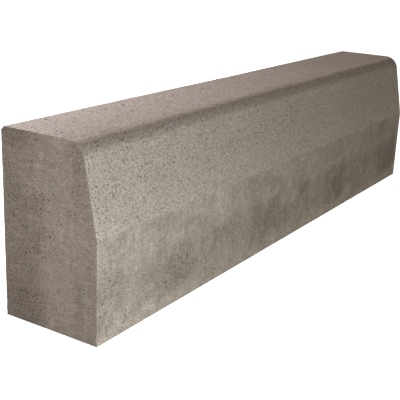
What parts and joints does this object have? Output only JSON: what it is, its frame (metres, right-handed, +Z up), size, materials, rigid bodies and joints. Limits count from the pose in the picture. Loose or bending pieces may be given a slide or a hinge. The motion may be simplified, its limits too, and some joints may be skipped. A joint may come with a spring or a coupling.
{
  "type": "precast concrete road kerb",
  "caption": "Straight precast concrete road kerb with a vertical foot, battered and pitted upper face, large rounded front arris and chamfered rear edge.",
  "frame": {"origin": "centre of the flat base", "axes": "+X along the kerb, -Y towards the road (the battered face), +Z up"},
  "size_m": [1, 0.15, 0.25],
  "materials": {
    "backing_concrete": "mould-drawn semi-dry concrete, matt, with vertical drag marks and clouding",
    "facing_concrete": "fine pitted facing concrete, matt"
  },
  "bodies": {
    "root": {"core_concrete": "backing_concrete", "facing_concrete": "facing_concrete"}
  },
  "joints": []
}
